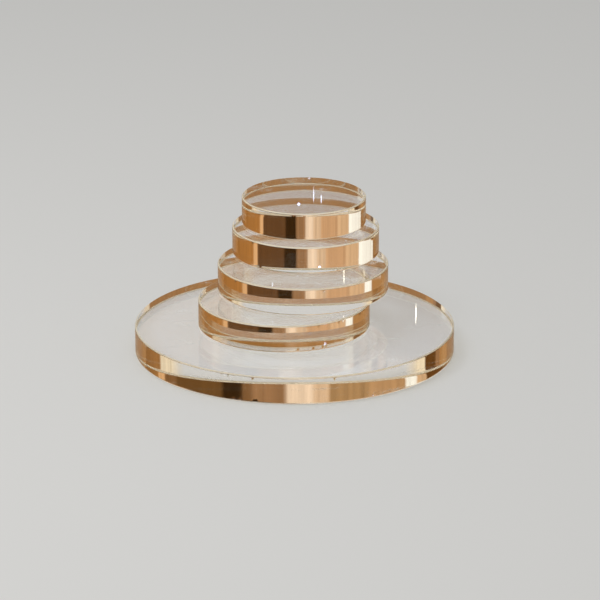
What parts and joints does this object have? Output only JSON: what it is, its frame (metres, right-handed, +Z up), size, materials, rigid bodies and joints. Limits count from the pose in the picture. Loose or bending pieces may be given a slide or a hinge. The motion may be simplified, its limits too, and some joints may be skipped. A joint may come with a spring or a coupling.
{
  "type": "stack of round sight glasses",
  "caption": "Loose stack of flat round clear glass discs with polished edges and ground chamfers, widest at the bottom, each lifting off the one below.",
  "frame": {"origin": "centre of the widest disc's underside, where the stack rests on the bench", "axes": "+Z up through the stack, +X to the viewer's right, +Y away from the viewer"},
  "size_m": [0.14, 0.14, 0.0612],
  "materials": {
    "clear_glass": "polished faces and polished edge, with a satin ground chamfer round both faces"
  },
  "bodies": {
    "base_disc": {"base_disc": "clear_glass"},
    "second_disc": {"second_disc": "clear_glass"},
    "third_disc": {"third_disc": "clear_glass"},
    "fourth_disc": {"fourth_disc": "clear_glass"},
    "top_disc": {"top_disc": "clear_glass"}
  },
  "joints": [
    {"name": "second_disc_lift", "type": "slide", "parent": "base_disc", "child": "second_disc", "axis": [0, 0, 1], "range_m": [0, 0.05]},
    {"name": "third_disc_lift", "type": "slide", "parent": "second_disc", "child": "third_disc", "axis": [0, 0, 1], "range_m": [0, 0.05]},
    {"name": "fourth_disc_lift", "type": "slide", "parent": "third_disc", "child": "fourth_disc", "axis": [0, 0, 1], "range_m": [0, 0.05]},
    {"name": "top_disc_lift", "type": "slide", "parent": "fourth_disc", "child": "top_disc", "axis": [0, 0, 1], "range_m": [0, 0.05]}
  ]
}
